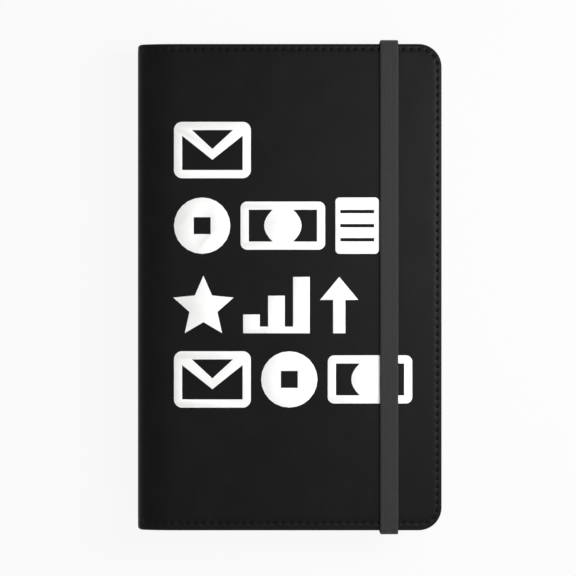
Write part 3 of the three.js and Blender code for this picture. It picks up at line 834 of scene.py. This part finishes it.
# The block of envelopes is thin between the rail and the rings' ends, and swells to its full height.
RAIL_CLEARANCE = 1.5 * MM
PUNCHED_TOP = THICKNESS + 16.75 * MM
LOW_RAMP_START, LOW_RAMP_LENGTH = RING_LEG + 0.6 * MM, 7 * MM
HIGH_RAMP_START, HIGH_RAMP_LENGTH = RING_LEG + 7 * MM, 9 * MM


def ease(t):
    """A soft step from 0 to 1."""
    t = min(max(t, 0.0), 1.0)
    return t * t * (3 - 2 * t)


def stack_profile(x):
    """The lowest and highest point of the block of envelopes at a place across it."""
    over_rail = RAIL_HIGH.z + RAIL_CLEARANCE
    low = over_rail + (BLOCK_LOW.z - over_rail) * ease((x - LOW_RAMP_START) / LOW_RAMP_LENGTH)
    swell = ease((x - HIGH_RAMP_START) / HIGH_RAMP_LENGTH)
    return low, PUNCHED_TOP + (BLOCK_HIGH.z - PUNCHED_TOP) * swell


def leaf_outline(left, right, half, corner=2.5 * MM):
    """A sheet with round corners."""
    points = []
    for cx, cy, start in (
        (right - corner, half - corner, 0),
        (left + corner, half - corner, math.pi / 2),
        (left + corner, -half + corner, math.pi),
        (right - corner, -half + corner, 1.5 * math.pi),
    ):
        for i in range(4):
            angle = start + math.pi / 2 * i / 3
            points.append((cx + corner * math.cos(angle), cy + corner * math.sin(angle)))
    return points


BREAK_POINTS, HOLE_POINTS = 9, 14
MEETING_DISTANCE = 1e-7
HOLE_CLEAR_SHARE = 0.97


def leaf_triangles(outline, holes, breaks):
    """A punched leaf cut into triangles, with lines across it where it bends."""
    points = [Vector(p) for p in outline]
    edges = [(i, (i + 1) % len(outline)) for i in range(len(outline))]
    low_y = min(p.y for p in points)
    high_y = max(p.y for p in points)
    for x in breaks:
        start = len(points)
        points += [Vector((x, y)) for y in np.linspace(low_y, high_y, BREAK_POINTS)]
        edges += [(start + k, start + k + 1) for k in range(BREAK_POINTS - 1)]
    for x, y in holes:
        start = len(points)
        for k in range(HOLE_POINTS):
            angle = 2 * math.pi * k / HOLE_POINTS
            points.append(Vector((x + HOLE_RADIUS * math.cos(angle), y + HOLE_RADIUS * math.sin(angle))))
            edges.append((start + k, start + (k + 1) % HOLE_POINTS))
    found, _edges, faces, *_rest = delaunay_2d_cdt(points, edges, [], 0, MEETING_DISTANCE)
    kept = []
    for face in faces:
        middle = sum((found[i] for i in face), Vector((0, 0))) / len(face)
        if any((middle - Vector(h)).length < HOLE_RADIUS * HOLE_CLEAR_SHARE for h in holes):
            continue
        if inside(middle, outline):
            kept.append(tuple(face))
    return found, kept


def inside(point, outline):
    """Whether an outline goes round a point, from how often it crosses the line to the point's right."""
    hit = False
    for (ax, ay), (bx, by) in zip(outline, outline[1:] + outline[:1]):
        if (ay > point.y) != (by > point.y):
            if point.x < ax + (bx - ax) * (point.y - ay) / (by - ay):
                hit = not hit
    return hit


def thicken(points, faces, low, high):
    """A closed sheet between two height functions of X."""
    used = sorted({i for f in faces for i in f})
    index = {old: new for new, old in enumerate(used)}
    count = len(used)
    vertices = [(points[i].x, points[i].y, high(points[i].x)) for i in used]
    vertices += [(points[i].x, points[i].y, low(points[i].x)) for i in used]
    made = []
    border = {}
    for face in faces:
        ring = [index[i] for i in face]
        made.append(tuple(ring))
        made.append(tuple(i + count for i in ring[::-1]))
        for a, b in zip(ring, ring[1:] + ring[:1]):
            if (b, a) in border:
                del border[(b, a)]
            else:
                border[(a, b)] = True
    for a, b in border:
        made.append((b, a, a + count, b + count))
    return vertices, made


LEAF_BREAKS = [RING_LEG + v * MM for v in (3.2, 5.5, 7.6, 9.5, 11.5, 13.5, 16.2)]
LEFT_SLIP, RIGHT_SLIP, HEIGHT_SLIP = 0.4, 0.45, 0.35


def envelope_leaves(settings, material):
    """Punched leaves, each carrying an envelope on both faces, a little out of line with each other."""
    draw = random.Random(7)
    count = settings.leaf_count
    vertices, faces = [], []
    for k in range(count):
        left = BLOCK_LOW.x + draw.uniform(0.0, LEFT_SLIP) * MM
        right = BLOCK_HIGH.x - abs(draw.gauss(0.0, RIGHT_SLIP)) * MM
        half = BLOCK_HIGH.y - abs(draw.gauss(0.0, HEIGHT_SLIP)) * MM
        points, triangles = leaf_triangles(leaf_outline(left, right, half), HOLES, LEAF_BREAKS)

        def height(x, share):
            low, high = stack_profile(x)
            return low + (high - low) * share / count

        made, shapes = thicken(
            points, triangles, lambda x: height(x, k), lambda x: height(x, k + settings.leaf_fill)
        )
        base = len(vertices)
        vertices += made
        faces += [tuple(i + base for i in face) for face in shapes]
    obj = make_object("envelope_leaves", vertices, faces, material, smooth=False)
    face_outward(obj)
    return obj


FLAP_INSET_LEFT, FLAP_INSET = 14 * MM, 2 * MM
FLAP_LENGTH = 62 * MM
FLAP_TIP_REACH, FLAP_TIP_SHARE = 9 * MM, 0.62
FLAP_SINK, FLAP_THICKNESS = 0.05 * MM, 0.18 * MM


def flap(material):
    """The pointed flap of the top envelope, folded down and tucked flat on it."""
    left = BLOCK_LOW.x + FLAP_INSET_LEFT
    right = BLOCK_HIGH.x - FLAP_INSET
    top = BLOCK_HIGH.y - FLAP_INSET
    middle = (left + right) / 2
    outline = [(left, top)]
    for t in steps(0, 1, 0.125):
        rise = FLAP_TIP_SHARE * ((1 - t) ** 2 + t**2)
        x = middle + FLAP_TIP_REACH * (t**2 - (1 - t) ** 2)
        outline.append((x, top - FLAP_LENGTH + FLAP_TIP_REACH * rise))
    outline.append((right, top))
    breaks = [left + v * MM for v in (2, 4, 6, 8, 10)]
    points, triangles = leaf_triangles(outline, [], breaks)

    def low(x):
        return stack_profile(x)[1] - FLAP_SINK

    made, shapes = thicken(points, triangles, low, lambda x: low(x) + FLAP_THICKNESS)
    obj = make_object("top_flap", made, shapes, material, smooth=False)
    face_outward(obj)
    return obj


# Settings


def length(name, description, size):
    return bpy.props.FloatProperty(name=name, description=description, default=size, unit="LENGTH")


def colour(name, description, *tone):
    return bpy.props.FloatVectorProperty(
        name=name, description=description, subtype="COLOR", size=3, default=tone,
    )


class BinderSettings(bpy.types.PropertyGroup):
    """Sizes and colours of the binder's visible pieces."""

    front_roll: length("Front roll", "Width of the roll at the spine side of the front cover", 17 * MM)
    front_corner: length("Front corner", "How far down the spine the front cover's roll runs", 8.5 * MM)
    back_corner: length("Back corner", "How far the leather rolls from the back cover to the spine", 4.5 * MM)
    stitch_pitch: length("Stitch pitch", "Distance from one stitch to the next", 3.12 * MM)
    stitch_length: length("Stitch length", "Length of thread that shows", 1.65 * MM)
    stitch_width: length("Stitch width", "Width of the sunk thread", 1.45 * MM)
    stitch_height: length("Stitch height", "Thickness of the sunk thread", 0.5 * MM)
    band_width: length("Band width", "Width of the elastic band", BAND_HIGH.x - BAND_LOW.x)
    leaf_count: bpy.props.IntProperty(
        name="Leaves", description="Punched leaves, with two envelopes each", default=50, min=1,
    )
    leaf_fill: bpy.props.FloatProperty(
        name="Leaf fill", description="Share of each leaf's room that it takes",
        default=0.72, min=0.1, max=0.95,
    )
    leather_dark: colour("Leather shade", "Darker tone of the cover", 0.0018, 0.0018, 0.0019)
    leather_light: colour("Leather tone", "Paler tone of the cover", 0.0034, 0.0034, 0.0035)
    elastic_colour: colour("Elastic", "Colour of the band", 0.0205, 0.0205, 0.0213)
    film_colour: colour("Film", "Colour of the print", 0.93, 0.93, 0.92)


def settings_of(context):
    return context.scene.binder_settings


# Stage


def backdrop_share(tree):
    """1 for the rays that show the plain backdrop: to the camera, in a mirror and through glass."""
    rays = tree.nodes.new("ShaderNodeLightPath")
    share = rays.outputs["Is Camera Ray"]
    for name in ("Is Glossy Ray", "Is Transmission Ray"):
        share = combine(tree, "MAXIMUM", share, rays.outputs[name])
    return share


def shown_as(tree, share, lit, plain, output):
    """Gives an output its lit look, turned towards its plain look by a share."""
    mix = tree.nodes.new("ShaderNodeMixShader")
    tree.links.new(share, mix.inputs["Fac"])
    tree.links.new(lit, mix.inputs[1])
    tree.links.new(plain, mix.inputs[2])
    tree.links.new(mix.outputs["Shader"], output.inputs["Surface"])


TABLE_SIDE = 3.2
TABLE_WHITE_SHARE = 0.92


def table():
    """A table that shows white to the camera and keeps a faint shadow."""
    material, tree, main = shader("white_table")
    fill(main, Base_Color=(0.5, 0.5, 0.5, 1), Roughness=0.9)
    glow = tree.nodes.new("ShaderNodeEmission")
    share = tree.nodes.new("ShaderNodeMath")
    share.operation = "MULTIPLY"
    share.inputs[1].default_value = TABLE_WHITE_SHARE
    tree.links.new(backdrop_share(tree), share.inputs[0])
    output = next(n for n in tree.nodes if n.type == "OUTPUT_MATERIAL")
    shown_as(tree, share.outputs["Value"], main.outputs["BSDF"], glow.outputs["Emission"], output)
    side = TABLE_SIDE / 2
    corners = [(-side, -side, 0), (side, -side, 0), (side, side, 0), (-side, side, 0)]
    make_object("table", corners, [(0, 1, 2, 3)], material, smooth=False)


def room(scene):
    """A room that is brighter to the right of the binder than to its left, and shows plain white."""
    world = bpy.data.worlds.new("studio")
    world.use_nodes = True
    tree = world.node_tree
    tree.nodes.clear()
    output = tree.nodes.new("ShaderNodeOutputWorld")
    walls = tree.nodes.new("ShaderNodeBackground")
    fill(walls, Color=(1, 1, 1, 1))
    split = tree.nodes.new("ShaderNodeSeparateXYZ")
    dimmer = tree.nodes.new("ShaderNodeMapRange")
    fill(dimmer, From_Min=-0.5, From_Max=0.7, To_Min=0.02, To_Max=0.32)
    heading = tree.nodes.new("ShaderNodeTexCoord")
    tree.links.new(heading.outputs["Generated"], split.inputs["Vector"])
    tree.links.new(split.outputs["X"], dimmer.inputs["Value"])
    tree.links.new(dimmer.outputs["Result"], walls.inputs["Strength"])
    white = tree.nodes.new("ShaderNodeBackground")
    fill(white, Color=(1, 1, 1, 1), Strength=1.0)
    backgrounds = walls.outputs["Background"], white.outputs["Background"]
    shown_as(tree, backdrop_share(tree), *backgrounds, output)
    scene.world = world


LAMPS = {
    "key_softbox": {
        "place": (0.265, 0.065, 0.34), "aim": (0.02, 0.01, 0.02), "size": (0.18, 0.42), "power": 2.4,
    },
    "fill_softbox": {
        "place": (0.2, -0.6, 0.5), "aim": (0.0, 0.0, 0.01), "size": (0.5, 0.3), "power": 1.2,
    },
}


def lamps(scene):
    """A long softbox close to the right of the binder, and a weaker one at its foot."""
    for name, setup in LAMPS.items():
        light = bpy.data.lights.new(name, "AREA")
        light.shape = "RECTANGLE"
        light.size, light.size_y = setup["size"]
        light.energy = setup["power"]
        lamp = bpy.data.objects.new(name, light)
        scene.collection.objects.link(lamp)
        lamp.location = setup["place"]
        lamp.rotation_mode = "QUATERNION"
        away = Vector(setup["place"]) - Vector(setup["aim"])
        lamp.rotation_quaternion = away.to_track_quat("Z", "Y")


# Edges of the closed cover in the photograph, in its pixels.
PHOTO_SIZE = 576
PHOTO_LEFT, PHOTO_RIGHT = 137.0, 441.5
PHOTO_TOP, PHOTO_BOTTOM = 43.7, 530.6
CAMERA_DISTANCE = 1.1
SENSOR = 36


def camera(scene):
    """Looks straight down on the cover, which is as large and as central as in the photograph."""
    scale = (2 * HALF_HEIGHT) / (PHOTO_BOTTOM - PHOTO_TOP)
    data = bpy.data.cameras.new("photo_camera")
    data.sensor_width = SENSOR
    data.lens = SENSOR * CAMERA_DISTANCE / (PHOTO_SIZE * scale)
    shot = bpy.data.objects.new("photo_camera", data)
    scene.collection.objects.link(shot)
    middle_x = (COVER_LOW.x + COVER_HIGH.x) / 2
    x = middle_x + ((PHOTO_SIZE - PHOTO_LEFT - PHOTO_RIGHT) / 2) * scale
    y = ((PHOTO_TOP + PHOTO_BOTTOM - PHOTO_SIZE) / 2) * scale
    shot.location = (x, y, CLOSED + CAMERA_DISTANCE)
    shot.rotation_euler = (0, 0, 0)
    scene.camera = shot


# Operators


class BINDER_OT_stage(bpy.types.Operator):
    """Set the white table, the room, the soft lamps and the camera above the front cover"""

    bl_idname = "binder.stage"
    bl_label = "Stage"

    def execute(self, context):
        scene = context.scene
        scene.view_settings.view_transform = "Standard"
        table()
        room(scene)
        lamps(scene)
        camera(scene)
        return {"FINISHED"}


class BINDER_OT_covers(bpy.types.Operator):
    """Make the leather covers, the spine and their stitches"""

    bl_idname = "binder.covers"
    bl_label = "Covers"

    def execute(self, context):
        settings = settings_of(context)
        leather = leather_finish(
            "black_leather", dark=settings.leather_dark, light=settings.leather_light, roughness=0.43
        )
        front = front_wrap(settings)
        back = back_wrap(settings)
        front_piece = leather_cover("front_leather", front, leather)
        back_piece = leather_cover("back_leather", back, leather)
        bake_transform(front_piece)
        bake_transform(back_piece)
        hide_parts("front_cover", "spine")
        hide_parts("back_cover")
        self.sew_all(settings, front, back)
        return {"FINISHED"}

    def sew_all(self, settings, front, back):
        """Lays thread along the sewn edges of the covers and the spine."""
        thread = thread_finish((0.004, 0.004, 0.004))
        tree = stitch_tree(thread)
        for body, lines in (
            ("front", cover_stitches(front)),
            ("back", cover_stitches(back)),
            ("spine", spine_stitches(front) + spine_stitches(back)),
        ):
            piece = sew(f"{body}_stitches", lines, tree, settings, thread)
            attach(piece, body)


class BINDER_OT_lining(bpy.types.Operator):
    """Make the slip pocket and the card slots inside the front cover"""

    bl_idname = "binder.lining"
    bl_label = "Inner pockets"

    def execute(self, context):
        material = leather_finish(
            "lining_leather", dark=(0.014, 0.014, 0.0145), light=(0.02, 0.02, 0.0205), roughness=0.62
        )
        dressed_copy("front_pocket", "slip_pocket", "front", material, 0.18 * MM)
        for i in (1, 2, 3):
            dressed_copy(f"card_slot_{i}", f"card_pocket_{i}", "front", material, 0.15 * MM)
        return {"FINISHED"}


class BINDER_OT_band(bpy.types.Operator):
    """Make the elastic band"""

    bl_idname = "binder.band"
    bl_label = "Elastic band"

    def execute(self, context):
        settings = settings_of(context)
        band = elastic_band(settings, elastic_finish(settings.elastic_colour))
        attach(band, "back")
        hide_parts("elastic_band")
        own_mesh(band)
        return {"FINISHED"}


class BINDER_OT_rings(bpy.types.Operator):
    """Make the rail, blades, half rings, levers and rivets"""

    bl_idname = "binder.rings"
    bl_label = "Ring mechanism"

    def execute(self, context):
        nickel = nickel_finish()
        for side in SIDES:
            for i in range(1, RING_COUNT + 1):
                half_ring(side, i, nickel)
            dressed_copy(f"blade_{side}", f"{side}_blade", f"rings_{side}", nickel, 0.08 * MM)
        dressed_copy("ring_rail", "arched_rail", "back", nickel, 0.08 * MM)
        for end in ("top", "bottom"):
            dressed_copy(f"lever_{end}", f"{end}_lever", f"lever_{end}", nickel, 0.25 * MM, 3)
            dressed_copy(f"rivet_{end}", f"{end}_rivet", "back", nickel, 0.12 * MM, 3)
        return {"FINISHED"}


class BINDER_OT_envelopes(bpy.types.Operator):
    """Make the punched leaves of envelopes"""

    bl_idname = "binder.envelopes"
    bl_label = "Envelopes"

    def execute(self, context):
        kraft = kraft_finish()
        leaves = envelope_leaves(settings_of(context), kraft)
        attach(leaves, "back")
        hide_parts("envelopes")
        top = flap(kraft)
        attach(top, "back")
        return {"FINISHED"}


class BINDER_OT_print(bpy.types.Operator):
    """Lay the white film motifs on the front cover"""

    bl_idname = "binder.print"
    bl_label = "Print"

    def execute(self, context):
        film = film_finish(settings_of(context).film_colour)
        for node in sorted(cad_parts):
            if node.startswith("print_"):
                motif = node.replace("print_", "film_")
                dressed_copy(node, motif, "front", film, 0.06 * MM, 2)
        return {"FINISHED"}


class BINDER_PT_panel(bpy.types.Panel):
    """Lists the binder's pieces in the order they are made"""

    bl_idname = "BINDER_PT_panel"
    bl_label = "Binder"
    bl_space_type = "VIEW_3D"
    bl_region_type = "UI"
    bl_category = "Binder"

    def draw(self, context):
        for name in BinderSettings.__annotations__:
            self.layout.prop(settings_of(context), name)
        for operator in OPERATORS:
            self.layout.operator(operator.bl_idname)


OPERATORS = (
    BINDER_OT_stage,
    BINDER_OT_covers,
    BINDER_OT_lining,
    BINDER_OT_print,
    BINDER_OT_band,
    BINDER_OT_rings,
    BINDER_OT_envelopes,
)
CLASSES = (BinderSettings, *OPERATORS, BINDER_PT_panel)


def register():
    for item in CLASSES:
        bpy.utils.register_class(item)
    bpy.types.Scene.binder_settings = bpy.props.PointerProperty(type=BinderSettings)


def unregister():
    del bpy.types.Scene.binder_settings
    for item in reversed(CLASSES):
        bpy.utils.unregister_class(item)


def main():
    register()
    bpy.ops.binder.stage()
    bpy.ops.binder.covers()
    bpy.ops.binder.lining()
    bpy.ops.binder.print()
    bpy.ops.binder.band()
    bpy.ops.binder.rings()
    bpy.ops.binder.envelopes()
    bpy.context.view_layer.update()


if __name__ == "__main__":
    main()
